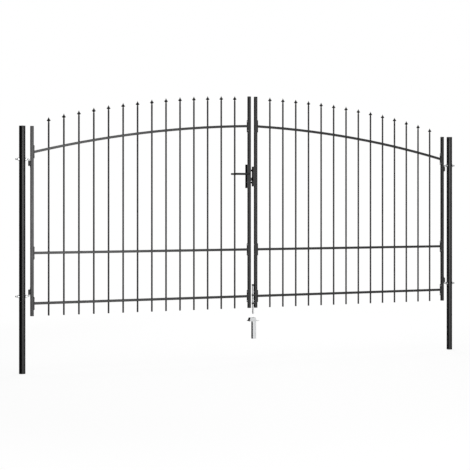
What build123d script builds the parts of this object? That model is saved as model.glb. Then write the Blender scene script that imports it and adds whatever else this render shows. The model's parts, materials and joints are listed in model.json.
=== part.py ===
# Double-leaf fence gate: round posts, two arched leaves of round bars, hinge hooks, lock, drop bolt

import os
from math import sqrt

from build123d import *

# Overall sizes. The origin is the middle of the left post's foot, +X runs along the gate, +Z is up.
gate_width = 4000.0  # over the outer sides of both posts
post_length = 1950.0  # from the foot to the top of the cap
leaf_bottom = 450.0  # underside of the leaves above the feet of the posts
post_gap = 40.0  # clear gap between a post and its leaf
centre_gap = 35.0  # clear gap between the two leaves

# Posts
post_diameter = 50.0
post_wall = 2.0
cap_rim = 4.0  # part of a post cap that stands above the tube
cap_rim_edge = 1.5
cap_plug_depth = 18.0
plug_clearance = 0.2

# Stiles, square tube
stile_size = 25.0
stile_wall = 2.0
stile_round = 3.0
outer_stile_length = 1500.0
inner_stile_length = 1800.0
stile_cap_rim = 3.0
stile_cap_edge = 1.0
stile_plug_depth = 15.0

# Rails and the flange plates at their ends. Rises count from the underside of the leaf.
rail_size = 20.0
rail_edge = 1.5
bottom_rail_rise = 100.0
middle_rail_rise = 498.0
arch_outer_rise = 1296.0
arch_inner_rise = 1547.0
arch_radius = 9040.0
flange_height = 103.0
flange_thickness = 5.0
flange_round = 4.0

# Bars and spear tips. The points of the spears lie on an arc of their own, rounder than the arched rail.
bars_per_leaf = 14
bar_diameter = 14.0
spear_outer_rise = 1542.0
spear_inner_rise = 1800.0
spear_line_radius = 6640.0
spear_height = 46.0
spear_barb_diameter = 30.0
spear_neck_diameter = 12.0
spear_point_diameter = 1.6
spear_collar_height = 2.0
spear_collar_taper = 3.0
spear_neck_height = 8.0
spear_barb_height = 7.0
spear_hollow_share = 0.4  # radius halfway up the hollow flank, as a share of the barb's radius

# Hinges: a hook of round rod through the post, and a knuckle on the stile that turns on its pin
rod_diameter = 12.0
rod_hole_clearance = 0.25
rod_overhang = 29.0  # rod end beyond the outer side of the post
rod_end_edge = 1.2
hook_bend_radius = 12.0
pin_past_knuckle = 3.0
hinge_offset = 10.0  # hinge axis to the stile
knuckle_diameter = 16.0
knuckle_height = 38.0
knuckle_clearance = 0.05
gusset_thickness = 4.0
gusset_width = 16.0
gusset_tail = 18.0
upper_rod_height = 1687.0
lower_rod_height = 608.0
nut_flats = 19.0
nut_thickness = 10.0

# Lock on the left leaf
lock_height = 200.0
lock_middle_height = 1570.0
lock_reach = 16.0  # case beyond the stile, on the leaf's side
lock_wrap = 20.0  # case over the cheeks of the stile
lock_depth = 40.0
lock_wall = 2.5
lock_round = 1.8
lever_setback = 6.0  # lever and cylinder axis to the stile
lever_height = 1590.0
lever_diameter = 16.0
lever_reach = 30.0  # lever's middle line in front of the case
lever_length = 128.0
lever_bend_radius = 14.0
lever_end_edge = 3.0
lever_collar_diameter = 19.0
lever_collar_height = 4.0
lever_clearance = 0.1
collar_gap = 0.3
spindle_size = 7.0
cylinder_height = 1518.0
cylinder_width = 12.0
cylinder_length = 20.0
cylinder_inset = 1.0
latch_height = 1546.0
latch_tall = 28.0
latch_thickness = 10.0
latch_reach = 13.0  # tongue beyond the stile at rest
latch_tail = 1.5  # rear end of the tongue inside the stile
latch_nose = 6.0
latch_clearance = 0.3

# Keeper on the right leaf
keeper_height = 169.0
keeper_middle_height = 1569.0
keeper_reach = 17.0
keeper_wrap = 8.0
keeper_depth = 32.0
keeper_wall = 2.5
keeper_round = 2.5
keeper_slot_margin = 4.0
buffer_diameter = 17.0
buffer_length = 12.0
buffer_spacing = 103.2
buffer_edge = 2.0

# Drop bolt on the right leaf and its socket in the ground
bolt_diameter = 14.0
bolt_offset = 12.0  # bolt axis to the stile
bolt_tip_height = 399.0
bolt_tip_edge = 2.5
bolt_length = 238.0
knob_diameter = 20.0
knob_height = 14.0
knob_edge = 2.5
guide_height = 15.0
guide_wall = 3.5
guide_clearance = 0.1
upper_guide_height = 558.0
lower_guide_height = 488.0
socket_plate_length = 90.0
socket_plate_width = 70.0
socket_plate_thickness = 4.0
socket_plate_round = 6.0
socket_ground_height = 338.0  # underside of the plate
hump_length = 64.0
hump_width = 50.0
hump_height = 26.0
hump_taper = 18.0  # degrees
hump_round = 2.0
hump_offset = -8.0  # middle of the hump to the bolt axis
socket_hole_diameter = 20.0
socket_tube_size = 32.0
socket_tube_wall = 2.0
socket_tube_round = 3.0
socket_tube_offset = 6.0  # middle of the tube to the bolt axis
socket_tube_length = 151.0

overrun = 5.0  # cuts run this far past what they cut

# Places worked out from the sizes, for the left half. The right half mirrors them.
post_radius = post_diameter / 2
middle_x = (gate_width - post_diameter) / 2
stile_face_x = post_radius + post_gap
outer_stile_x = stile_face_x + stile_size / 2
inner_stile_x = middle_x - centre_gap / 2 - stile_size / 2
inner_face_x = inner_stile_x - stile_size / 2
gap_face_x = inner_stile_x + stile_size / 2
rail_start_x = outer_stile_x + stile_size / 2 + flange_thickness
rail_end_x = inner_face_x - flange_thickness
rail_length = rail_end_x - rail_start_x
rail_middle_x = (rail_start_x + rail_end_x) / 2
hinge_x = stile_face_x - hinge_offset
rod_radius = rod_diameter / 2
bar_radius = bar_diameter / 2
bar_gap = (rail_length - bars_per_leaf * bar_diameter) / (bars_per_leaf + 1)
bar_pitch = bar_gap + bar_diameter
bar_places = [rail_start_x + bar_pitch - bar_radius + i * bar_pitch for i in range(bars_per_leaf)]
middle_plane = Plane.YZ.offset(middle_x)


def curve_height(x, outer_rise, inner_rise, radius, offset=0.0):
    """Height at one place along the gate of an arc from above one rail end to above the other, or beside it."""
    chord = Vector(rail_length, inner_rise - outer_rise)
    sink = sqrt(radius**2 - (chord.length / 2) ** 2) / chord.length
    centre_x = rail_middle_x + chord.Y * sink
    centre_z = leaf_bottom + (outer_rise + inner_rise) / 2 - chord.X * sink
    return centre_z + sqrt((radius + offset) ** 2 - (x - centre_x) ** 2)


def arch_height(x, offset=0.0):
    """Height of the arched rail's middle line, or of an edge beside it."""
    return curve_height(x, arch_outer_rise, arch_inner_rise, arch_radius, offset)


def spear_foot(x):
    """Height at which a bar ends and its spear tip starts."""
    return curve_height(x, spear_outer_rise, spear_inner_rise, spear_line_radius) - spear_height


def save(part, name):
    part.label = name
    export_step(part, f"parts/{name}.step")


def save_pair(part, name):
    """Write a piece of the left half, and its mirror image on the right half."""
    save(part, f"left_{name}")
    save(mirror(part, about=middle_plane), f"right_{name}")


os.makedirs("parts", exist_ok=True)

# Posts, with cross holes for the hinge rods
with BuildPart() as post:
    with BuildSketch():
        Circle(post_radius)
        Circle(post_radius - post_wall, mode=Mode.SUBTRACT)
    extrude(amount=post_length - cap_rim)
    with BuildSketch(Plane.YZ):
        with Locations((0, upper_rod_height), (0, lower_rod_height)):
            Circle(rod_radius + rod_hole_clearance)
    extrude(amount=post_radius + overrun, both=True, mode=Mode.SUBTRACT)
save_pair(post.part, "post")

with BuildPart() as post_cap:
    with BuildSketch(Plane.XY.offset(post_length - cap_rim)):
        Circle(post_radius)
    extrude(amount=cap_rim)
    chamfer(post_cap.faces().sort_by(Axis.Z)[-1].edges(), cap_rim_edge)
    with BuildSketch(Plane.XY.offset(post_length - cap_rim)):
        Circle(post_radius - post_wall - plug_clearance)
    extrude(amount=-cap_plug_depth)
save_pair(post_cap.part, "post_cap")

# Hinge hooks: the upper pins point down and the lower pins up, so that a leaf can't be lifted off
hinge_levels = (("upper", upper_rod_height, -1), ("lower", lower_rod_height, 1))
for level, rod_z, way in hinge_levels:
    pin_end = rod_z + way * (hook_bend_radius + knuckle_height + pin_past_knuckle)
    with BuildPart() as hook:
        with BuildLine() as bend:
            FilletPolyline(
                (-post_radius - rod_overhang, 0, rod_z),
                (hinge_x, 0, rod_z),
                (hinge_x, 0, pin_end),
                radius=hook_bend_radius,
            )
        with BuildSketch(Plane(bend.line @ 0, z_dir=bend.line % 0)):
            Circle(rod_radius)
        sweep()
        chamfer(hook.faces().filter_by(GeomType.PLANE).edges(), rod_end_edge)
    save_pair(hook.part, f"{level}_hinge_hook")

    with BuildPart() as nuts:
        for face_x, side in ((post_radius, 1), (-post_radius, -1)):
            with BuildSketch(Plane.YZ.offset(face_x)):
                with Locations((0, rod_z)):
                    RegularPolygon(nut_flats / 2, 6, major_radius=False)
                    Circle(rod_radius + knuckle_clearance, mode=Mode.SUBTRACT)
            extrude(amount=side * nut_thickness)
    save_pair(nuts.part, f"{level}_hinge_nuts")

    knuckle_face = rod_z + way * hook_bend_radius
    knuckle_end = knuckle_face + way * knuckle_height
    with BuildPart() as knuckle:
        with BuildSketch(Plane.XY.offset(knuckle_face)):
            with Locations((hinge_x, 0)):
                Circle(knuckle_diameter / 2)
        extrude(amount=way * knuckle_height)
        with BuildSketch(Plane.XZ):
            with BuildLine():
                Polyline(
                    (stile_face_x, knuckle_face),
                    (stile_face_x - gusset_thickness, knuckle_face),
                    (stile_face_x - gusset_thickness, knuckle_end),
                    (stile_face_x, knuckle_end + way * gusset_tail),
                    close=True,
                )
            make_face()
        extrude(amount=gusset_width / 2, both=True)
        with BuildSketch(Plane.XY.offset(knuckle_face)):
            with Locations((hinge_x, 0)):
                Circle(rod_radius + knuckle_clearance)
        extrude(amount=way * knuckle_height, mode=Mode.SUBTRACT)
    save_pair(knuckle.part, f"{level}_knuckle")


# Stiles and their end caps
def make_stile(x, length):
    with BuildPart() as stile:
        with BuildSketch(Plane.XY.offset(leaf_bottom + stile_cap_rim)):
            with Locations((x, 0)):
                RectangleRounded(stile_size, stile_size, stile_round)
                inside = stile_size - 2 * stile_wall
                RectangleRounded(inside, inside, stile_round - stile_wall, mode=Mode.SUBTRACT)
        extrude(amount=length - 2 * stile_cap_rim)
    return stile.part


save_pair(make_stile(outer_stile_x, outer_stile_length), "outer_stile")
inner_stile = make_stile(inner_stile_x, inner_stile_length)
save(mirror(inner_stile, about=middle_plane), "right_inner_stile")

with BuildPart() as latch_stile:
    add(inner_stile)
    with BuildSketch(Plane.YZ.offset(inner_stile_x)):
        with Locations((0, latch_height)):
            Rectangle(latch_thickness + 2 * latch_clearance, latch_tall + 2 * latch_clearance)
    extrude(amount=stile_size / 2 + overrun, both=True, mode=Mode.SUBTRACT)
save(latch_stile.part, "left_inner_stile")

with BuildPart() as stile_caps:
    for x, length in ((outer_stile_x, outer_stile_length), (inner_stile_x, inner_stile_length)):
        for rim_z, way in ((leaf_bottom + stile_cap_rim, -1), (leaf_bottom + length - stile_cap_rim, 1)):
            with BuildSketch(Plane.XY.offset(rim_z)):
                with Locations((x, 0)):
                    RectangleRounded(stile_size, stile_size, stile_round)
            extrude(amount=way * stile_cap_rim)
            plug = stile_size - 2 * (stile_wall + plug_clearance)
            with BuildSketch(Plane.XY.offset(rim_z)):
                with Locations((x, 0)):
                    RectangleRounded(plug, plug, stile_round - stile_wall)
            extrude(amount=-way * stile_plug_depth)
    outer_ends = stile_caps.faces().filter_by(Axis.Z).group_by(SortBy.AREA)[-1]
    chamfer(outer_ends.edges(), stile_cap_edge)
save_pair(stile_caps.part, "stile_caps")


# Panel: two straight rails, the arched rail and the bars through them, one weldment
def arch_edge(offset):
    return [(x, arch_height(x, offset)) for x in (rail_start_x, rail_middle_x, rail_end_x)]


with BuildPart() as panel:
    with BuildSketch(Plane.XZ):
        for rise in (bottom_rail_rise, middle_rail_rise):
            with Locations((rail_middle_x, leaf_bottom + rise)):
                Rectangle(rail_length, rail_size)
        with BuildLine():
            upper = ThreePointArc(*arch_edge(rail_size / 2))
            lower = ThreePointArc(*arch_edge(-rail_size / 2))
            Line(upper @ 0, lower @ 0)
            Line(upper @ 1, lower @ 1)
        make_face()
    extrude(amount=rail_size / 2, both=True)
    rail_ends = panel.faces().filter_by(Axis.X)
    chamfer(panel.edges() - rail_ends.edges(), rail_edge)
    for x in bar_places:
        with BuildSketch(Plane.XY.offset(leaf_bottom)):
            with Locations((x, 0)):
                Circle(bar_radius)
        extrude(amount=spear_foot(x) - leaf_bottom)
save_pair(panel.part, "panel")

# Spear tips, turned: collar, neck, barb and a hollow flank up to the point
neck_start = spear_collar_height + spear_collar_taper
neck_end = neck_start + spear_neck_height
barb_height = neck_end + spear_barb_height
with BuildPart() as spear_tips:
    for x in bar_places:
        with BuildSketch(Plane((x, 0, spear_foot(x)), x_dir=(1, 0, 0), z_dir=(0, -1, 0))):
            with BuildLine():
                Polyline(
                    (0, 0),
                    (bar_radius, 0),
                    (bar_radius, spear_collar_height),
                    (spear_neck_diameter / 2, neck_start),
                    (spear_neck_diameter / 2, neck_end),
                    (spear_barb_diameter / 2, barb_height),
                    (spear_hollow_share * spear_barb_diameter / 2, (barb_height + spear_height) / 2),
                    (spear_point_diameter / 2, spear_height),
                    (0, spear_height),
                    close=True,
                )
            make_face()
        revolve(axis=Axis((x, 0, 0), (0, 0, 1)))
save_pair(spear_tips.part, "spear_tips")

# Flange plates between the rail ends and the stiles
with BuildPart() as flanges:
    for start_x in (rail_start_x - flange_thickness, rail_end_x):
        rail_x = rail_start_x if start_x < rail_middle_x else rail_end_x
        for rail_z in (leaf_bottom + bottom_rail_rise, leaf_bottom + middle_rail_rise, arch_height(rail_x)):
            with BuildSketch(Plane.YZ.offset(start_x)):
                with Locations((0, rail_z)):
                    RectangleRounded(stile_size, flange_height, flange_round)
            extrude(amount=flange_thickness)
save_pair(flanges.part, "flange_plates")

# Lock case: a C-shaped box over the left inner stile, with holes for the lever and the cylinder
lever_x = inner_face_x - lever_setback
lock_bottom = lock_middle_height - lock_height / 2
lock_start_x = inner_face_x - lock_reach
case_front = lock_depth / 2
case_inside = case_front - lock_wall
with BuildPart() as lock_case:
    with BuildSketch(Plane.XY.offset(lock_bottom)):
        with Locations((lock_start_x, 0)):
            RectangleRounded(lock_reach + lock_wrap, lock_depth, lock_round, align=(Align.MIN, Align.CENTER))
        with Locations((inner_face_x, 0)):
            Rectangle(stile_size, stile_size, align=(Align.MIN, Align.CENTER), mode=Mode.SUBTRACT)
    extrude(amount=lock_height)
    with BuildSketch(Plane.XY.offset(lock_bottom + lock_wall)):
        with Locations((lock_start_x + lock_wall, 0)):
            Rectangle(lock_reach - lock_wall, 2 * case_inside, align=(Align.MIN, Align.CENTER))
    extrude(amount=lock_height - 2 * lock_wall, mode=Mode.SUBTRACT)
    with BuildSketch(Plane.XZ):
        with Locations((lever_x, lever_height)):
            Circle(lever_diameter / 2 + lever_clearance)
        with Locations((lever_x, cylinder_height)):
            SlotOverall(cylinder_length, cylinder_width, rotation=90)
    extrude(amount=case_front + overrun, both=True, mode=Mode.SUBTRACT)
save(lock_case.part, "lock_case")

with BuildPart() as lock_cylinder:
    with BuildSketch(Plane.XZ):
        with Locations((lever_x, cylinder_height)):
            SlotOverall(cylinder_length, cylinder_width, rotation=90)
    extrude(amount=case_front - cylinder_inset, both=True)
save(lock_cylinder.part, "lock_cylinder")

# Lever handles: round bar bent to run along the leaf, with a collar at the case, on a square spindle
bar_line = case_front + lever_reach
with BuildPart() as front_lever:
    with BuildLine() as bend:
        FilletPolyline(
            (lever_x, -case_inside, lever_height),
            (lever_x, -bar_line, lever_height),
            (lever_x - lever_length, -bar_line, lever_height),
            radius=lever_bend_radius,
        )
    with BuildSketch(Plane(bend.line @ 0, z_dir=bend.line % 0)):
        Circle(lever_diameter / 2)
    sweep()
    chamfer(front_lever.faces().sort_by(Axis.X)[0].edges(), lever_end_edge)
    with BuildSketch(Plane.XZ.offset(case_front + collar_gap)):
        with Locations((lever_x, lever_height)):
            Circle(lever_collar_diameter / 2)
    extrude(amount=lever_collar_height)
save(front_lever.part, "front_lever")
save(mirror(front_lever.part, about=Plane.XZ), "back_lever")

with BuildPart() as spindle:
    with BuildSketch(Plane.XZ):
        with Locations((lever_x, lever_height)):
            Rectangle(spindle_size, spindle_size)
    extrude(amount=case_inside, both=True)
save(spindle.part, "lever_spindle")

# Latch bolt, a flat tongue through the stile with a rounded nose
latch_start_x = inner_face_x + latch_tail
latch_end_x = gap_face_x + latch_reach
with BuildPart() as latch_bolt:
    with BuildSketch(Plane.YZ.offset(latch_start_x)):
        with Locations((0, latch_height)):
            Rectangle(latch_thickness, latch_tall)
    extrude(amount=latch_end_x - latch_start_x)
    nose = latch_bolt.faces().sort_by(Axis.X)[-1].edges().filter_by(Axis.Z).sort_by(Axis.Y)[0]
    chamfer(nose, latch_nose)
save(latch_bolt.part, "latch_bolt")

# Keeper on the right inner stile, with a slot for the latch, and its two buffers
keeper_face_x = middle_x + centre_gap / 2
keeper_start_x = keeper_face_x - keeper_reach
keeper_bottom = keeper_middle_height - keeper_height / 2
with BuildPart() as keeper:
    with BuildSketch(Plane.XY.offset(keeper_bottom)):
        with Locations((keeper_start_x, 0)):
            RectangleRounded(
                keeper_reach + keeper_wrap, keeper_depth, keeper_round, align=(Align.MIN, Align.CENTER)
            )
        with Locations((keeper_face_x, 0)):
            Rectangle(stile_size, stile_size, align=(Align.MIN, Align.CENTER), mode=Mode.SUBTRACT)
    extrude(amount=keeper_height)
    with BuildSketch(Plane.XY.offset(keeper_bottom + keeper_wall)):
        with Locations((keeper_start_x + keeper_wall, 0)):
            inside = keeper_depth - 2 * keeper_wall
            Rectangle(keeper_reach - keeper_wall, inside, align=(Align.MIN, Align.CENTER))
    extrude(amount=keeper_height - 2 * keeper_wall, mode=Mode.SUBTRACT)
    with BuildSketch(Plane.YZ.offset(keeper_start_x)):
        with Locations((0, latch_height)):
            Rectangle(latch_thickness + 2 * keeper_slot_margin, latch_tall + 2 * keeper_slot_margin)
    extrude(amount=keeper_wall + overrun, both=True, mode=Mode.SUBTRACT)
save(keeper.part, "keeper")

with BuildPart() as buffers:
    with BuildSketch(Plane.YZ.offset(keeper_start_x)):
        for way in (-1, 1):
            with Locations((0, keeper_middle_height + way * buffer_spacing / 2)):
                Circle(buffer_diameter / 2)
    extrude(amount=-buffer_length)
    chamfer(buffers.faces().filter_by(Axis.X).group_by(Axis.X)[0].edges(), buffer_edge)
save(buffers.part, "keeper_buffers")

# Drop bolt with its knob, and the two guides on the right inner stile
bolt_x = keeper_face_x - bolt_offset
bolt_top = bolt_tip_height + bolt_length
with BuildPart() as bolt:
    with BuildSketch(Plane.XY.offset(bolt_tip_height)):
        with Locations((bolt_x, 0)):
            Circle(bolt_diameter / 2)
    extrude(amount=bolt_length)
    chamfer(bolt.faces().sort_by(Axis.Z)[0].edges(), bolt_tip_edge)
save(bolt.part, "drop_bolt_rod")

with BuildPart() as knob:
    with BuildSketch(Plane.XY.offset(bolt_top)):
        with Locations((bolt_x, 0)):
            Circle(knob_diameter / 2)
    extrude(amount=knob_height)
    chamfer(knob.edges().filter_by(GeomType.CIRCLE), knob_edge)
save(knob.part, "drop_bolt_knob")

guide_radius = bolt_diameter / 2 + guide_wall
with BuildPart() as guides:
    for guide_z in (upper_guide_height, lower_guide_height):
        with BuildSketch(Plane.XY.offset(guide_z - guide_height / 2)):
            with Locations((bolt_x, 0)):
                Circle(guide_radius)
                Rectangle(bolt_offset, 2 * guide_radius, align=(Align.MIN, Align.CENTER))
                Circle(bolt_diameter / 2 + guide_clearance, mode=Mode.SUBTRACT)
        extrude(amount=guide_height)
save(guides.part, "drop_bolt_guides")

# Ground socket: a plate with a pressed hump and a hole for the bolt, on a square tube
hump_base = socket_ground_height + socket_plate_thickness
with BuildPart() as socket_plate:
    with BuildSketch(Plane.XY.offset(socket_ground_height)):
        with Locations((bolt_x, 0)):
            RectangleRounded(socket_plate_length, socket_plate_width, socket_plate_round)
    extrude(amount=socket_plate_thickness)
    with BuildSketch(Plane.XY.offset(hump_base)):
        with Locations((bolt_x + hump_offset, 0)):
            Rectangle(hump_length, hump_width)
    extrude(amount=hump_height, taper=hump_taper)
    fillet(socket_plate.faces().sort_by(Axis.Z)[-1].edges(), hump_round)
    with BuildSketch(Plane.XY.offset(socket_ground_height)):
        with Locations((bolt_x, 0)):
            Circle(socket_hole_diameter / 2)
    extrude(amount=socket_plate_thickness + hump_height + overrun, mode=Mode.SUBTRACT)
save(socket_plate.part, "ground_socket_plate")

with BuildPart() as socket_tube:
    with BuildSketch(Plane.XY.offset(socket_ground_height)):
        with Locations((bolt_x + socket_tube_offset, 0)):
            RectangleRounded(socket_tube_size, socket_tube_size, socket_tube_round)
            inside = socket_tube_size - 2 * socket_tube_wall
            RectangleRounded(inside, inside, socket_tube_round - socket_tube_wall, mode=Mode.SUBTRACT)
    extrude(amount=-socket_tube_length)
save(socket_tube.part, "ground_socket_tube")
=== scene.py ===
# Double fence gate with an arched spear top: powder coat, zinc fittings, fasteners and a white studio
import json
import math

import bpy
from mathutils import Matrix, Vector


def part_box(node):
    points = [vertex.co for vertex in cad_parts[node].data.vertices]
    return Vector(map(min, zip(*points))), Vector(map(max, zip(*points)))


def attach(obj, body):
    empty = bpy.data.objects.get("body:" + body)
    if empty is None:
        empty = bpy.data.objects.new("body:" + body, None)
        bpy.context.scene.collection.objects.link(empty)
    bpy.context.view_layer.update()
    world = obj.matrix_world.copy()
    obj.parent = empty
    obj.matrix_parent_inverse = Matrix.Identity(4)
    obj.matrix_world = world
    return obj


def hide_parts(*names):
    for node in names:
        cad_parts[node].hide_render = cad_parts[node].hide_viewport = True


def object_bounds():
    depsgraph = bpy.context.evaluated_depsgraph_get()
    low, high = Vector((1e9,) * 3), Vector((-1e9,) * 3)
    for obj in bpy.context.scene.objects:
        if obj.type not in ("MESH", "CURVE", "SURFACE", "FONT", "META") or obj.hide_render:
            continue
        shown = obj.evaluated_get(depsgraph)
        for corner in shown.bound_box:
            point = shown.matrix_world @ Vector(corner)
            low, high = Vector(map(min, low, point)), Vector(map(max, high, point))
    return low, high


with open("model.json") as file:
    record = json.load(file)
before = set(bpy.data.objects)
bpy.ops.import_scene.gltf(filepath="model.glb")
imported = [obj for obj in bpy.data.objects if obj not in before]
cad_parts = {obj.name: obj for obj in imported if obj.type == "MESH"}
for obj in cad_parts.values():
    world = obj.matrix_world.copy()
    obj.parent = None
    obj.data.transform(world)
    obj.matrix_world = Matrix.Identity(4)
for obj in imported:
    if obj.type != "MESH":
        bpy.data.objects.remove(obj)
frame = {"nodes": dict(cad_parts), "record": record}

nodes = frame["nodes"]
cadLow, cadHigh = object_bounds()
mm = 0.001
print("frame loaded,", len(nodes), "nodes")


def linearColour(hexCode):
    channels = [int(hexCode[i:i + 2], 16) / 255 for i in (1, 3, 5)]
    return [c / 12.92 if c <= 0.04045 else ((c + 0.055) / 1.055) ** 2.4 for c in channels] + [1.0]


mixShare, firstColour, secondColour, mixedColour = 0, 6, 7, 2  # sockets of a Mix node that mixes colours


def addNode(tree, kind, settings=None, values=None, links=None):
    node = tree.nodes.new(kind)
    for name, value in (settings or {}).items():
        setattr(node, name, value)
    for socket, value in (values or {}).items():
        node.inputs[socket].default_value = value
    for socket, source in (links or {}).items():
        tree.links.new(source, node.inputs[socket])
    return node


def newMaterial(name):
    # with its shader and the Object coordinates that its patterns read
    material = bpy.data.materials.new(name)
    material.use_nodes = True
    tree = material.node_tree
    shader = tree.nodes["Principled BSDF"]
    place = addNode(tree, "ShaderNodeTexCoord").outputs["Object"]
    return material, tree, shader, place


# Powder coat: baked polyester dust over steel tube. It gives the eye a deep satin black with a soft,
# slightly pebbled sheen, a little thinner and glossier where the cloud of powder fell less.
coatLook = {
    "black": "#0b0b0c",
    "blackThin": "#101011",
    "cloud": 90 * mm,  # patches of thicker and thinner film
    "cloudDetail": 3.0,
    "cloudRough": 0.6,
    "cloudSpan": (0.3, 0.7),  # where the cloud turns from glossy to dull
    "peel": 2.4 * mm,  # orange peel, true size about 1 mm, drawn coarser to show
    "peelDetail": 1.0,
    "peelDepth": 0.05 * mm,
    "peelStrength": 0.35,
    "rough": (0.29, 0.37),
}


def powderCoat():
    material, tree, shader, place = newMaterial("black_powder_coat")
    cloud = addNode(tree, "ShaderNodeTexNoise", None,
                    {"Scale": 1 / coatLook["cloud"], "Detail": coatLook["cloudDetail"],
                     "Roughness": coatLook["cloudRough"]}, {"Vector": place})
    tone = addNode(tree, "ShaderNodeMix", {"data_type": "RGBA"},
                   {firstColour: linearColour(coatLook["black"]),
                    secondColour: linearColour(coatLook["blackThin"])},
                   {mixShare: cloud.outputs["Fac"]})
    tree.links.new(tone.outputs[mixedColour], shader.inputs["Base Color"])
    gloss = addNode(tree, "ShaderNodeMapRange", None,
                    {"From Min": coatLook["cloudSpan"][0], "From Max": coatLook["cloudSpan"][1],
                     "To Min": coatLook["rough"][0], "To Max": coatLook["rough"][1]},
                    {"Value": cloud.outputs["Fac"]})
    tree.links.new(gloss.outputs["Result"], shader.inputs["Roughness"])
    peel = addNode(tree, "ShaderNodeTexNoise", None,
                   {"Scale": 1 / coatLook["peel"], "Detail": coatLook["peelDetail"]}, {"Vector": place})
    bump = addNode(tree, "ShaderNodeBump", None,
                   {"Strength": coatLook["peelStrength"], "Distance": coatLook["peelDepth"]},
                   {"Height": peel.outputs["Fac"]})
    tree.links.new(bump.outputs["Normal"], shader.inputs["Normal"])
    return material


# Zinc: electroplated mild steel, passivated clear. It gives a bright cool grey with faint crystals
# and a soft blur, never a mirror.
zincLook = {
    "light": "#d6d7d8",
    "dark": "#b6b8b9",
    "crystal": 5 * mm,
    "smear": 14 * mm,
    "smearDetail": 4.0,
    "smearRough": 0.65,
    "rough": (0.24, 0.36),
}


def zincPlate():
    material, tree, shader, place = newMaterial("zinc_plated_steel")
    shader.inputs["Metallic"].default_value = 1.0
    crystal = addNode(tree, "ShaderNodeTexVoronoi", None,
                      {"Scale": 1 / zincLook["crystal"]}, {"Vector": place})
    smear = addNode(tree, "ShaderNodeTexNoise", None,
                    {"Scale": 1 / zincLook["smear"], "Detail": zincLook["smearDetail"],
                     "Roughness": zincLook["smearRough"]}, {"Vector": place})
    blend = addNode(tree, "ShaderNodeMath", {"operation": "MULTIPLY"}, None,
                    {0: crystal.outputs["Color"], 1: smear.outputs["Fac"]})
    tone = addNode(tree, "ShaderNodeMix", {"data_type": "RGBA"},
                   {firstColour: linearColour(zincLook["light"]),
                    secondColour: linearColour(zincLook["dark"])},
                   {mixShare: blend.outputs[0]})
    tree.links.new(tone.outputs[mixedColour], shader.inputs["Base Color"])
    gloss = addNode(tree, "ShaderNodeMapRange", None,
                    {"To Min": zincLook["rough"][0], "To Max": zincLook["rough"][1]},
                    {"Value": smear.outputs["Fac"]})
    tree.links.new(gloss.outputs["Result"], shader.inputs["Roughness"])
    return material


# Polyethylene: injection moulded plugs and the knob. It gives a flat, waxy black with a fine
# spark-eroded grain.
plugLook = {
    "black": "#161617",
    "blackWorn": "#1f1f20",
    "grain": 1.5 * mm,
    "grainDetail": 2.0,
    "grainDepth": 0.04 * mm,
    "grainStrength": 0.5,
    "rough": 0.55,
    "ior": 1.51,
}


def mouldedPlastic():
    material, tree, shader, place = newMaterial("moulded_polyethylene")
    shader.inputs["Roughness"].default_value = plugLook["rough"]
    shader.inputs["IOR"].default_value = plugLook["ior"]
    grain = addNode(tree, "ShaderNodeTexNoise", None,
                    {"Scale": 1 / plugLook["grain"], "Detail": plugLook["grainDetail"]}, {"Vector": place})
    tone = addNode(tree, "ShaderNodeMix", {"data_type": "RGBA"},
                   {firstColour: linearColour(plugLook["black"]),
                    secondColour: linearColour(plugLook["blackWorn"])},
                   {mixShare: grain.outputs["Fac"]})
    tree.links.new(tone.outputs[mixedColour], shader.inputs["Base Color"])
    bump = addNode(tree, "ShaderNodeBump", None,
                   {"Strength": plugLook["grainStrength"], "Distance": plugLook["grainDepth"]},
                   {"Height": grain.outputs["Fac"]})
    tree.links.new(bump.outputs["Normal"], shader.inputs["Normal"])
    return material


# Rubber: pressed buffers. It gives a dull black that hardly shines.
rubberLook = {"black": "#121212", "dust": "#242423", "speck": 3 * mm, "speckDetail": 5.0, "rough": 0.85}


def pressedRubber():
    material, tree, shader, place = newMaterial("pressed_rubber")
    shader.inputs["Roughness"].default_value = rubberLook["rough"]
    speck = addNode(tree, "ShaderNodeTexNoise", None,
                    {"Scale": 1 / rubberLook["speck"], "Detail": rubberLook["speckDetail"]},
                    {"Vector": place})
    tone = addNode(tree, "ShaderNodeMix", {"data_type": "RGBA"},
                   {firstColour: linearColour(rubberLook["black"]),
                    secondColour: linearColour(rubberLook["dust"])},
                   {mixShare: speck.outputs["Fac"]})
    tree.links.new(tone.outputs[mixedColour], shader.inputs["Base Color"])
    return material


# Blackened steel: oiled oxide on the lock cylinder, its plugs and the latch. It gives a dark metal
# with a dim, even gleam.
oxideLook = {"dark": "#38383a", "light": "#4e4e51", "mottle": 6 * mm, "mottleDetail": 4.0, "rough": 0.38}


def blackenedSteel():
    material, tree, shader, place = newMaterial("blackened_steel")
    shader.inputs["Metallic"].default_value = 1.0
    shader.inputs["Roughness"].default_value = oxideLook["rough"]
    mottle = addNode(tree, "ShaderNodeTexNoise", None,
                     {"Scale": 1 / oxideLook["mottle"], "Detail": oxideLook["mottleDetail"]},
                     {"Vector": place})
    tone = addNode(tree, "ShaderNodeMix", {"data_type": "RGBA"},
                   {firstColour: linearColour(oxideLook["dark"]),
                    secondColour: linearColour(oxideLook["light"])},
                   {mixShare: mottle.outputs["Fac"]})
    tree.links.new(tone.outputs[mixedColour], shader.inputs["Base Color"])
    return material


finishes = {
    "black_coat": powderCoat(),
    "zinc_plate": zincPlate(),
    "cap_plastic": mouldedPlastic(),
    "buffer_rubber": pressedRubber(),
    "lock_steel": blackenedSteel(),
}
for entry in frame["record"]["subparts"]:
    nodes[entry["node"]].data.materials.clear()
    nodes[entry["node"]].data.materials.append(finishes[entry["material_slot"]])
print("finishes on the CAD nodes:", ", ".join(finishes))

# Tools for the added pieces: each is shaped in edit mode, copied to its places and joined
endFacing = 0.9  # a face is an end of its piece where its normal lies this far along the axis
roundSides = 32
mergeWithin = 0.01 * mm


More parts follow.
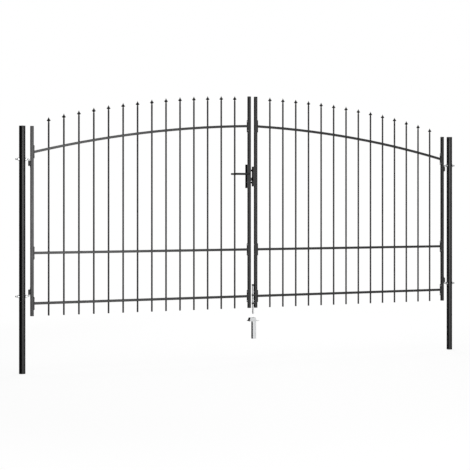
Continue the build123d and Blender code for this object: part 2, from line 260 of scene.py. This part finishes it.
def editFaces(piece, test):
    # edit mode with just the faces picked whose middle and normal pass the test
    bpy.ops.object.mode_set(mode="EDIT")
    bpy.ops.mesh.select_mode(type="FACE")
    bpy.ops.mesh.select_all(action="DESELECT")
    bpy.ops.object.mode_set(mode="OBJECT")
    for face in piece.data.polygons:
        face.select = test(face.center, face.normal)
    bpy.ops.object.mode_set(mode="EDIT")


def drawnUp(sideCount, radius, height, rings):
    # a round piece on the origin: a straight foot, and its top drawn up ring by ring
    bpy.ops.object.select_all(action="DESELECT")
    bpy.ops.mesh.primitive_cylinder_add(vertices=sideCount, radius=radius, depth=height,
                                        location=(0, 0, height / 2))
    piece = bpy.context.object
    bpy.ops.object.transform_apply()
    editFaces(piece, lambda middle, normal: normal.z > endFacing)
    for nextRadius, nextHeight in rings:
        share = nextRadius / radius
        bpy.ops.mesh.extrude_region_move(TRANSFORM_OT_translate={"value": (0, 0, nextHeight - height)})
        bpy.ops.transform.resize(value=(share, share, 1), center_override=(0, 0, nextHeight))
        radius, height = nextRadius, nextHeight
    bpy.ops.object.mode_set(mode="OBJECT")
    return piece


def chamferedBar(radius, length, chamfer, sideCount=roundSides):
    return drawnUp(sideCount, radius, length - chamfer, [(radius - chamfer, length)])


def cutWith(piece, cutter, way):
    change = piece.modifiers.new("cut", "BOOLEAN")
    change.operation = way
    change.solver = "EXACT"
    change.object = cutter
    bpy.context.view_layer.objects.active = piece
    bpy.ops.object.modifier_apply(modifier=change.name)
    bpy.data.objects.remove(cutter)


def copiesAt(pattern, spots):
    copies = []
    for spot in spots:
        twin = pattern.copy()
        twin.data = pattern.data.copy()
        twin.data.transform(spot)
        bpy.context.scene.collection.objects.link(twin)
        copies.append(twin)
    bpy.data.objects.remove(pattern)
    return copies


def joinPieces(members, name):
    bpy.ops.object.select_all(action="DESELECT")
    for member in members:
        member.select_set(True)
    bpy.context.view_layer.objects.active = members[0]
    bpy.ops.object.join()
    members[0].name = name
    return members[0]


def settle(piece, body, slotName, smoothAngle=35):
    # finish, shading, and the body that the piece moves with
    piece.data.materials.clear()
    piece.data.materials.append(finishes[slotName])
    bpy.ops.object.select_all(action="DESELECT")
    piece.select_set(True)
    bpy.context.view_layer.objects.active = piece
    bpy.ops.object.shade_smooth_by_angle(angle=math.radians(smoothAngle))
    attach(piece, body)


def along(point, direction):
    # the place of a piece that stands at a point and points along a direction
    turn = Vector((0, 0, 1)).rotation_difference(Vector(direction))
    return Matrix.Translation(point) @ turn.to_matrix().to_4x4()


def groupsOf(points, axis, gap):
    # points of a node, split wherever they leave a gap along one axis
    ordered = sorted(points, key=lambda point: getattr(point, axis))
    groups = [[ordered[0]]]
    for before, point in zip(ordered, ordered[1:]):
        if getattr(point, axis) - getattr(before, axis) > gap:
            groups.append([])
        groups[-1].append(point)
    return groups


def boxOf(points):
    return (Vector([min(point[i] for point in points) for i in range(3)]),
            Vector([max(point[i] for point in points) for i in range(3)]))


def nodePoints(name):
    return [vertex.co.copy() for vertex in nodes[name].data.vertices]


# What the pieces are fitted to: both leaves, their stiles and the plates at the ends of the rails
sides = ("left", "right")
levels = ("upper", "lower")
plateGaps = {"ends": 100 * mm, "levels": 150 * mm}  # plates further apart than this are separate ones
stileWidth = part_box("left_outer_stile")[1].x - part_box("left_outer_stile")[0].x
plateBoxes = {side: [boxOf(plate)
                     for end in groupsOf(nodePoints(side + "_flange_plates"), "x", plateGaps["ends"])
                     for plate in groupsOf(end, "z", plateGaps["levels"])] for side in sides}
leafMiddle = {side: sum(c.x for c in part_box(side + "_panel")) / 2 for side in sides}


def railSide(side, low, high):
    # which way a plate looks at its rail, and where that face is
    way = 1 if (low.x + high.x) / 2 < leafMiddle[side] else -1
    return way, high.x if way > 0 else low.x


# Flange bolts: a domed head with a hexagon socket on the plate, a flat sleeve nut on the far side
flangeBolt = {
    "fromRail": 38.5 * mm,  # above and below the middle of the rail
    "head": 18 * mm, "headRim": 0.8 * mm, "headHeight": 3.4 * mm,
    "headArc": 78, "headSteps": 5,  # degrees of the dome's arc, and its rings
    "socketFlats": 5 * mm, "socketShare": 0.55,  # depth of the socket as a share of the head's height
}
# low, as the drop bolt's knob passes close by
sleeveNut = {**flangeBolt, "headRim": 0.4 * mm, "headHeight": 1.4 * mm}


def mushroomHead(look):
    radius, arc = look["head"] / 2, math.radians(look["headArc"])
    dome = look["headHeight"] - look["headRim"]
    rings = []
    for step in range(1, look["headSteps"] + 1):
        turn = arc * step / look["headSteps"]
        rings.append((radius * math.cos(turn), look["headRim"] + dome * math.sin(turn) / math.sin(arc)))
    head = drawnUp(roundSides, radius, look["headRim"], rings)
    bpy.ops.object.select_all(action="DESELECT")
    bpy.ops.mesh.primitive_cylinder_add(vertices=6, radius=look["socketFlats"] / math.sqrt(3),
                                        depth=2 * look["socketShare"] * look["headHeight"],
                                        location=(0, 0, look["headHeight"]))
    socketCutter = bpy.context.object
    bpy.ops.object.transform_apply()
    cutWith(head, socketCutter, "DIFFERENCE")
    return head


for side in sides:
    headSpots, sleeveSpots = [], []
    for low, high in plateBoxes[side]:
        way, plateFace = railSide(side, low, high)
        stileFace = (low.x if way > 0 else high.x) - way * stileWidth
        for lift in (flangeBolt["fromRail"], -flangeBolt["fromRail"]):
            z = (low.z + high.z) / 2 + lift
            headSpots.append(along((plateFace, 0, z), (way, 0, 0)))
            sleeveSpots.append(along((stileFace, 0, z), (-way, 0, 0)))
    heads = copiesAt(mushroomHead(flangeBolt), headSpots)
    sleeves = copiesAt(mushroomHead(sleeveNut), sleeveSpots)
    settle(joinPieces(heads + sleeves, side + "_flange_bolts"), side + "_leaf", "zinc_plate")
print("flange bolts on", sum(len(p) for p in plateBoxes.values()), "plates")

# Hinge nuts with chamfered corners, in place of the plain ones, and the thread of the rods
hingeNut = {
    "endShare": 0.47,  # radius of the flat end as a share of the width over the flats
    "slope": 30,  # degrees of the chamfer
    "coneSides": 48,
    "coneOver": 1.001,  # keeps the cone clear of the corners between its two chamfers
    "turn": 30,  # degrees, a flat to the front once the nut lies along X
}
hingeRod = {
    "pitch": 1.75 * mm, "crest": 0.28 * mm, "root": 0.35 * mm,
    "footShare": 0.48,  # half of the ridge's foot as a share of the pitch
    "steps": 24, "end": 1.4 * mm, "innerRun": 6 * mm, "smoothAngle": 20,
}


def hexNut(flats, height, bore):
    # a hexagon cut back by a cone at both ends, as on a real nut, and bored
    corner, endRadius = flats / math.sqrt(3), hingeNut["endShare"] * flats
    slope = (corner - endRadius) * math.tan(math.radians(hingeNut["slope"]))
    nut = drawnUp(6, corner, height, [])
    bpy.ops.object.select_all(action="DESELECT")
    bpy.ops.mesh.primitive_cylinder_add(vertices=hingeNut["coneSides"], radius=corner * hingeNut["coneOver"],
                                        depth=height - 2 * slope, location=(0, 0, height / 2))
    cone = bpy.context.object
    bpy.ops.object.transform_apply()
    share = endRadius / corner
    for way, end in ((1, height), (-1, 0.0)):
        editFaces(cone, lambda middle, normal: normal.z * way > endFacing)
        bpy.ops.mesh.extrude_region_move(TRANSFORM_OT_translate={"value": (0, 0, way * slope)})
        bpy.ops.transform.resize(value=(share, share, 1), center_override=(0, 0, end))
        bpy.ops.object.mode_set(mode="OBJECT")
    cutWith(nut, cone, "INTERSECT")
    hole = drawnUp(roundSides, bore / 2, 3 * height, [])
    hole.location.z = -height  # past both ends
    cutWith(nut, hole, "DIFFERENCE")
    nut.data.transform(Matrix.Rotation(math.radians(hingeNut["turn"]), 4, "Z"))
    return nut


def threadRidge(radius, turns):
    # a small triangle, wound up the rod by a screw modifier and capped at both ends
    bpy.ops.object.select_all(action="DESELECT")
    bpy.ops.mesh.primitive_circle_add(vertices=3, radius=1.0, fill_type="NGON",
                                      rotation=(math.radians(90), 0, 0))
    ridge = bpy.context.object
    bpy.ops.object.transform_apply()
    bpy.ops.object.mode_set(mode="EDIT")
    bpy.ops.transform.rotate(value=math.radians(90), orient_axis="Y", center_override=(0, 0, 0))
    bpy.ops.mesh.delete(type="ONLY_FACE")
    bpy.ops.object.mode_set(mode="OBJECT")
    points = ridge.data.vertices
    crestPoint = max(points, key=lambda point: abs(point.co.x))
    foot = hingeRod["footShare"] * hingeRod["pitch"]
    for point in points:
        if point == crestPoint:
            point.co = (radius + hingeRod["crest"], 0, 0)
        else:
            point.co = (radius - hingeRod["root"], 0, math.copysign(foot, point.co.z))
    wind = ridge.modifiers.new("wind", "SCREW")
    wind.axis = "Z"
    wind.angle = math.radians(360)
    wind.screw_offset = hingeRod["pitch"]
    wind.iterations = turns
    wind.steps = wind.render_steps = hingeRod["steps"]
    bpy.ops.object.modifier_apply(modifier=wind.name)
    bpy.ops.object.mode_set(mode="EDIT")
    bpy.ops.mesh.select_all(action="SELECT")
    bpy.ops.mesh.remove_doubles(threshold=mergeWithin)
    bpy.ops.mesh.fill_holes(sides=4)
    bpy.ops.mesh.normals_make_consistent(inside=False)
    bpy.ops.object.mode_set(mode="OBJECT")
    return ridge


for side in sides:
    outward = -1 if side == "left" else 1
    postLow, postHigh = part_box(side + "_post")
    for level in levels:
        nutNode, hook = f"{side}_{level}_hinge_nuts", f"{side}_{level}_hinge_hook"
        nutLow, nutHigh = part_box(nutNode)
        hookLow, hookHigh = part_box(hook)
        rodRadius = hookHigh.y
        rodZ = (nutLow.z + nutHigh.z) / 2
        nut = hexNut(nutHigh.z - nutLow.z, nutHigh.x - postHigh.x, 2 * rodRadius)
        nutSpots = [along((postHigh.x, 0, rodZ), (1, 0, 0)), along((postLow.x, 0, rodZ), (-1, 0, 0))]
        nuts = joinPieces(copiesAt(nut, nutSpots), nutNode + "_chamfered")
        settle(nuts, "posts", "zinc_plate")
        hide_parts(nutNode)
        rodEnd = hookLow.x if side == "left" else hookHigh.x
        outerNut, innerNut = (nutLow.x, nutHigh.x) if side == "left" else (nutHigh.x, nutLow.x)
        outerTurns = int((abs(rodEnd - outerNut) - hingeRod["end"]) / hingeRod["pitch"])
        innerTurns = int(hingeRod["innerRun"] / hingeRod["pitch"])
        outerSpot = along((outerNut, 0, rodZ), (outward, 0, 0))
        innerSpot = along((innerNut, 0, rodZ), (-outward, 0, 0))
        threads = copiesAt(threadRidge(rodRadius, outerTurns), [outerSpot])
        threads += copiesAt(threadRidge(rodRadius, innerTurns), [innerSpot])
        thread = joinPieces(threads, f"{side}_{level}_rod_thread")
        settle(thread, "posts", "zinc_plate", hingeRod["smoothAngle"])
print("hinge nuts and threads")

# Spear tips with a wider, lower barb and a more slender point, in place of the plain turned ones
spear = {
    "apart": 30 * mm,  # tips further apart than this are separate ones
    "sides": 24,
    "collar": 2 * mm,
    "neck": 11.4 * mm, "neckFoot": 4.5 * mm, "neckTop": 11 * mm,
    "barb": 33 * mm, "barbFoot": 17.5 * mm, "barbEdge": 0.8 * mm,
    "point": 1.6 * mm, "hollow": 1.5, "flankSteps": 7,
}
tipBoxes = {side: [boxOf(tip) for tip in groupsOf(nodePoints(side + "_spear_tips"), "x", spear["apart"])]
            for side in sides}
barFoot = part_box("left_panel")[0].z
barFootSlice = 0.1 * mm  # the points this near the feet of the bars give their radius
barRadius = max(abs(p.y) for p in nodePoints("left_panel") if p.z < barFoot + barFootSlice)


def spearTip(height):
    # collar on the bar, neck, barb, and a hollow flank up to the point
    flankFoot = spear["barbFoot"] + spear["barbEdge"]
    rings = [(spear["neck"] / 2, spear["neckFoot"]), (spear["neck"] / 2, spear["neckTop"]),
             (spear["barb"] / 2, spear["barbFoot"]), (spear["barb"] / 2, flankFoot)]
    for step in range(1, spear["flankSteps"] + 1):
        share = step / spear["flankSteps"]
        flare = (spear["barb"] - spear["point"]) / 2 * (1 - share) ** spear["hollow"]
        rings.append((spear["point"] / 2 + flare, flankFoot + share * (height - flankFoot)))
    return drawnUp(spear["sides"], barRadius, spear["collar"], rings)


for side in sides:
    tipHeight = tipBoxes[side][0][1].z - tipBoxes[side][0][0].z
    tipSpots = [Matrix.Translation(((low.x + high.x) / 2, 0, low.z)) for low, high in tipBoxes[side]]
    spears = joinPieces(copiesAt(spearTip(tipHeight), tipSpots), side + "_spear_tips_barbed")
    settle(spears, side + "_leaf", "black_coat")
    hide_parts(side + "_spear_tips")
    print(side, "spear tips:", len(tipSpots))

# Weld beads: rings where the bars cross the rails, collars round the rail ends, runs beside gussets and
# guides, and a collar on the ground socket
weld = {
    "bead": 1.6 * mm, "ringSides": 14, "beadSides": 6,
    "ringOut": 0.2, "ringFlat": 0.75,  # shares of the bead: its middle off the bar, its height
    "collar": 1.9 * mm, "collarRound": 1,
    "cornerShare": 0.08, "cornerSteps": 3, "collarCuts": 2,  # corner as a share of the width
    "run": 1.5 * mm, "runSides": 8, "runTaper": 0.5, "runCuts": 5,
    "ripple": 0.25 * mm, "rippleEven": 0.4, "rippleOut": 0.6,
    "ringSeed": 5, "collarSeed": 7, "runSeed": 9,
    "nearBar": 1.02,  # points within this many radii of a bar's axis belong to its crossings
    "railEdgeGap": 5 * mm, "guideGap": 30 * mm,
    "smoothAngle": 60,
}


def roughen(seed):
    bpy.ops.mesh.select_all(action="SELECT")
    bpy.ops.transform.vertex_random(offset=weld["ripple"], uniform=weld["rippleEven"],
                                    normal=weld["rippleOut"], seed=seed)
    bpy.ops.object.mode_set(mode="OBJECT")


def weldRing(radius):
    bpy.ops.object.select_all(action="DESELECT")
    bpy.ops.mesh.primitive_torus_add(major_radius=radius + weld["ringOut"] * weld["bead"],
                                     minor_radius=weld["bead"], major_segments=weld["ringSides"],
                                     minor_segments=weld["beadSides"])
    ring = bpy.context.object
    bpy.ops.object.mode_set(mode="EDIT")
    bpy.ops.transform.resize(value=(1, 1, weld["ringFlat"]), center_override=(0, 0, 0))
    roughen(weld["ringSeed"])
    return ring


def weldCollar(width, height):
    # a square of wire with rounded corners, given its thickness as a curve
    bpy.ops.object.select_all(action="DESELECT")
    bpy.ops.mesh.primitive_plane_add(size=1.0)
    bpy.ops.object.mode_set(mode="EDIT")
    bpy.ops.transform.resize(value=(width, height, 1), center_override=(0, 0, 0))
    bpy.ops.mesh.delete(type="ONLY_FACE")
    bpy.ops.mesh.select_all(action="SELECT")
    bpy.ops.mesh.bevel(offset=weld["cornerShare"] * width, segments=weld["cornerSteps"], affect="VERTICES")
    bpy.ops.mesh.select_all(action="SELECT")
    bpy.ops.mesh.subdivide(number_cuts=weld["collarCuts"])
    bpy.ops.object.mode_set(mode="OBJECT")
    bpy.ops.object.convert(target="CURVE")
    bpy.context.object.data.bevel_depth = weld["collar"]
    bpy.context.object.data.bevel_resolution = weld["collarRound"]
    bpy.ops.object.convert(target="MESH")
    collar = bpy.context.object
    bpy.ops.object.mode_set(mode="EDIT")
    bpy.ops.mesh.select_all(action="SELECT")
    bpy.ops.mesh.remove_doubles(threshold=mergeWithin)
    roughen(weld["collarSeed"])
    return collar


def weldRun(length):
    # a short thick bead, standing on the origin, drawn in at its upper end
    bead = chamferedBar(weld["run"], length, weld["runTaper"] * weld["run"], weld["runSides"])
    bpy.ops.object.mode_set(mode="EDIT")
    bpy.ops.mesh.select_all(action="SELECT")
    bpy.ops.mesh.subdivide(number_cuts=weld["runCuts"])
    roughen(weld["runSeed"])
    return bead


def runsBeside(face, low, high):
    # up the front and back edges of a piece, where it meets the stile
    return copiesAt(weldRun(high.z - low.z), [Matrix.Translation((face, y, low.z)) for y in (low.y, high.y)])


def crossings(side, place):
    # where one bar enters and leaves the rails: middle and lean of each edge, from the panel's own points
    near = [p for p in nodePoints(side + "_panel")
            if math.hypot(p.x - place, p.y) < barRadius * weld["nearBar"]]
    for edge in groupsOf(near, "z", weld["railEdgeGap"])[1:-1]:
        middleZ = sum(p.z for p in edge) / len(edge)
        spread = sum((p.x - place) ** 2 for p in edge)
        lean = sum((p.x - place) * (p.z - middleZ) for p in edge) / spread
        yield Matrix.Translation((place, 0, middleZ)) @ Matrix.Rotation(-math.atan(lean), 4, "Y")


for side in sides:
    ringSpots = [spot for low, high in tipBoxes[side] for spot in crossings(side, (low.x + high.x) / 2)]
    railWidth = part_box(side + "_panel")[1].y * 2
    collarSpots = []
    for low, high in plateBoxes[side]:
        way, plateFace = railSide(side, low, high)
        collarSpots.append(along((plateFace, 0, (low.z + high.z) / 2), (way, 0, 0)))
    welds = copiesAt(weldRing(barRadius), ringSpots)
    welds += copiesAt(weldCollar(railWidth, railWidth), collarSpots)
    for level in levels:
        low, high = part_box(f"{side}_{level}_knuckle")
        welds += runsBeside(high.x if side == "left" else low.x, low, high)
    if side == "right":
        for guide in groupsOf(nodePoints("drop_bolt_guides"), "z", weld["guideGap"]):
            low, high = boxOf(guide)
            welds += runsBeside(high.x, low, high)
    settle(joinPieces(welds, side + "_weld_beads"), side + "_leaf", "black_coat", weld["smoothAngle"])
    print(side, "weld beads:", len(ringSpots), "rings,", len(collarSpots), "collars")
socketLow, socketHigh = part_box("ground_socket_tube")
socketTop = Matrix.Translation(((socketLow.x + socketHigh.x) / 2, 0, socketHigh.z))
socketCollar = copiesAt(weldCollar(socketHigh.x - socketLow.x, socketHigh.y - socketLow.y), [socketTop])
settle(joinPieces(socketCollar, "ground_socket_weld"), "posts", "zinc_plate", weld["smoothAngle"])

# Lock: the turning plugs with their keyways on both sides, and the screws of the case in the gap
lockTrim = {
    "plug": 9.4 * mm, "plugProud": 0.7 * mm, "plugChamfer": 0.4 * mm,
    "keyway": (1.6 * mm, 6.2 * mm), "keywayDepth": 3 * mm,
    "screw": 8.5 * mm, "screwHeight": 2.2 * mm, "screwChamfer": 0.88 * mm, "screwInset": 15 * mm,
    "screwSlot": (10.2 * mm, 1.4 * mm), "screwSlotDepth": 1.2 * mm,
}


def slottedDisc(width, height, chamfer, slotSize, slotDepth):
    disc = chamferedBar(width / 2, height, chamfer)
    bpy.ops.object.select_all(action="DESELECT")
    bpy.ops.mesh.primitive_cube_add(size=1.0)
    slotCutter = bpy.context.object
    slotCutter.scale = (*slotSize, 2 * slotDepth)
    slotCutter.location = (0, 0, height)
    bpy.ops.object.transform_apply()
    cutWith(disc, slotCutter, "DIFFERENCE")
    return disc


cylinderLow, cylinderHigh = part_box("lock_cylinder")
plugPlace = (cylinderLow + cylinderHigh) / 2
plugLength = lockTrim["keywayDepth"] + lockTrim["plugProud"]  # the plug starts inside the cylinder
plug = slottedDisc(lockTrim["plug"], plugLength, lockTrim["plugChamfer"],
                   lockTrim["keyway"], lockTrim["keywayDepth"])
plug.data.transform(Matrix.Translation((0, 0, -lockTrim["keywayDepth"])))
upright = Matrix.Rotation(math.radians(90), 4, "X")
plugSpots = [Matrix.Translation((plugPlace.x, cylinderLow.y, plugPlace.z)) @ upright,
             Matrix.Translation((plugPlace.x, cylinderHigh.y, plugPlace.z)) @ upright.inverted()]
settle(joinPieces(copiesAt(plug, plugSpots), "lock_plugs"), "left_leaf", "lock_steel")
lockLow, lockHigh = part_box("lock_case")
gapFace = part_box("left_inner_stile")[1].x
screw = slottedDisc(lockTrim["screw"], lockTrim["screwHeight"], lockTrim["screwChamfer"],
                    lockTrim["screwSlot"], lockTrim["screwSlotDepth"])
screwSpots = [along((gapFace, 0, z), (1, 0, 0))
              for z in (lockLow.z + lockTrim["screwInset"], lockHigh.z - lockTrim["screwInset"])]
settle(joinPieces(copiesAt(screw, screwSpots), "lock_screws"), "left_leaf", "zinc_plate")
print("lock plugs and screws")

# Camera: level, turned to the right, far back on a long lens; the shift only sets the horizon
cameraPlan = {
    "place": (-1.956, -8.986, 1.332),
    "turn": -22.76,
    "lens": 88.1,
    "sensor": 36.0,
    "horizonShift": -0.0653,
}
cameraData = bpy.data.cameras.new("camera")
cameraData.lens = cameraPlan["lens"]
cameraData.sensor_width = cameraPlan["sensor"]
cameraData.shift_y = cameraPlan["horizonShift"]
camera = bpy.data.objects.new("camera", cameraData)
camera.location = cameraPlan["place"]
camera.rotation_euler = (math.radians(90), 0, math.radians(cameraPlan["turn"]))
bpy.context.scene.collection.objects.link(camera)
bpy.context.scene.camera = camera

# Studio: a pale floor, a white surround, soft boxes, and a dark curtain that only reflections see
studio = {
    "middle": (1.975, 0.0),
    "white": "#ffffff",
    "surroundFill": 0.22,  # what the surround gives to matt surfaces
    "floorSize": 80.0,
    "floorColour": "#f6f6f6",
    "floorRough": 0.9,
    "floorFade": (2.7, 4.6),  # from the lit floor to the white of the surround, metres from the middle
    "floorWhite": 0.85,  # share of the white in the lit floor, so that its shadow stays faint
    "boxes": {
        "frontBox": {"place": (1.5, -6.0, 1.4), "aim": (1.5, 0.0, 1.4), "size": (3.4, 2.4), "watts": 105},
        "topBox": {"place": (2.0, 0.3, 6.5), "aim": (2.0, 0.3, 0.0), "size": (9.0, 7.0), "watts": 420},
        "backBox": {"place": (4.6, 4.6, 3.0), "aim": (2.2, 0.0, 1.2), "size": (2.4, 2.0), "watts": 90},
    },
    "mirrored": "frontBox",  # the one box in reflections: tops reflect the lid, backs the window
    "curtainRadius": 5.5,
    "curtainSides": 72,
    "curtainFoot": -4.0,
    "curtainHeight": 12.0,
    "windows": ((-130.0, -30.0), (30.0, 92.0)),  # front and back, degrees round from +X
    "windowEdges": (-2.5, 5.0),  # lower and upper, metres
    "curtainBase": "#000000",
    "wallColour": "#050505",
    "lidColour": "#a0a0a0",
}
for boxName, box in studio["boxes"].items():
    lamp = bpy.data.lights.new(boxName, "AREA")
    lamp.shape = "RECTANGLE"
    lamp.size, lamp.size_y = box["size"]
    lamp.energy = box["watts"]
    lampObject = bpy.data.objects.new(boxName, lamp)
    lampObject.location = box["place"]
    sight = Vector(box["aim"]) - Vector(box["place"])
    lampObject.rotation_euler = sight.to_track_quat("-Z", "Y").to_euler()
    bpy.context.scene.collection.objects.link(lampObject)
    lampObject.visible_glossy = boxName == studio["mirrored"]


def surroundStrength(tree):
    # white to the eye and in reflections, dimmer as a light on matt surfaces
    rays = addNode(tree, "ShaderNodeLightPath")
    seen = addNode(tree, "ShaderNodeMath", {"operation": "MAXIMUM"}, None,
                   {0: rays.outputs["Is Camera Ray"], 1: rays.outputs["Is Glossy Ray"]})
    seen = addNode(tree, "ShaderNodeMath", {"operation": "MAXIMUM"}, None,
                   {0: seen.outputs[0], 1: rays.outputs["Is Transmission Ray"]})
    strength = addNode(tree, "ShaderNodeMapRange", None,
                       {"To Min": studio["surroundFill"], "To Max": 1.0}, {"Value": seen.outputs[0]})
    return strength.outputs["Result"]


world = bpy.data.worlds.new("white_surround")
bpy.context.scene.world = world
world.use_nodes = True
background = world.node_tree.nodes["Background"]
background.inputs["Color"].default_value = linearColour(studio["white"])
world.node_tree.links.new(surroundStrength(world.node_tree), background.inputs["Strength"])

bpy.ops.object.select_all(action="DESELECT")
bpy.ops.mesh.primitive_plane_add(size=studio["floorSize"], location=(*studio["middle"], cadLow.z))
floor = bpy.context.object
floor.name = "floor"
floorMaterial, floorTree, floorShader, floorPlace = newMaterial("pale_floor")
floorShader.inputs["Base Color"].default_value = linearColour(studio["floorColour"])
floorShader.inputs["Roughness"].default_value = studio["floorRough"]
floorShader.inputs["Specular IOR Level"].default_value = 0.0
away = addNode(floorTree, "ShaderNodeVectorMath", {"operation": "LENGTH"}, None, {0: floorPlace})
fade = addNode(floorTree, "ShaderNodeMapRange", {"interpolation_type": "SMOOTHSTEP"},
               {"From Min": studio["floorFade"][0], "From Max": studio["floorFade"][1],
                "To Min": studio["floorWhite"]},
               {"Value": away.outputs["Value"]})
glow = addNode(floorTree, "ShaderNodeEmission", None, {"Color": linearColour(studio["white"])},
               {"Strength": surroundStrength(floorTree)})
blend = addNode(floorTree, "ShaderNodeMixShader", None, None,
                {0: fade.outputs["Result"], 1: floorShader.outputs[0], 2: glow.outputs[0]})
floorTree.links.new(blend.outputs[0], floorTree.nodes["Material Output"].inputs["Surface"])
floor.data.materials.append(floorMaterial)
floor.visible_glossy = False  # reflections see the curtain and the surround past the floor

# the curtain is a drum with windows to the white: black at the gate's height, grey above and below
curtainMiddle = studio["curtainFoot"] + studio["curtainHeight"] / 2
bpy.ops.object.select_all(action="DESELECT")
bpy.ops.mesh.primitive_cylinder_add(vertices=studio["curtainSides"], radius=studio["curtainRadius"],
                                    depth=studio["curtainHeight"],
                                    location=(*studio["middle"], curtainMiddle))
curtain = bpy.context.object
curtain.name = "curtain"
bpy.ops.object.mode_set(mode="EDIT")
for edge in studio["windowEdges"]:
    bpy.ops.mesh.select_all(action="SELECT")
    bpy.ops.mesh.bisect(plane_co=(0, 0, edge), plane_no=(0, 0, 1))
bpy.ops.object.mode_set(mode="OBJECT")
lowerEdge, upperEdge = (edge - curtain.location.z for edge in studio["windowEdges"])


def inWindow(middle, normal):
    turn = math.degrees(math.atan2(middle.y, middle.x))
    return lowerEdge < middle.z < upperEdge and any(first < turn < last for first, last in studio["windows"])


editFaces(curtain, inWindow)
bpy.ops.mesh.delete(type="FACE")
bpy.ops.object.mode_set(mode="OBJECT")
for curtainPart in ("wall", "lid"):
    curtainMaterial = bpy.data.materials.new("curtain_" + curtainPart)
    curtainMaterial.use_nodes = True
    curtainShader = curtainMaterial.node_tree.nodes["Principled BSDF"]
    curtainShader.inputs["Base Color"].default_value = linearColour(studio["curtainBase"])
    curtainShader.inputs["Specular IOR Level"].default_value = 0.0
    curtainShader.inputs["Emission Color"].default_value = linearColour(studio[curtainPart + "Colour"])
    curtainShader.inputs["Emission Strength"].default_value = 1.0
    curtain.data.materials.append(curtainMaterial)
for face in curtain.data.polygons:
    face.material_index = 0 if lowerEdge < face.center.z < upperEdge else 1
for rayKind in ("camera", "diffuse", "transmission", "volume_scatter", "shadow"):
    setattr(curtain, "visible_" + rayKind, False)
bpy.context.scene.view_settings.view_transform = "Standard"
print("studio ready")
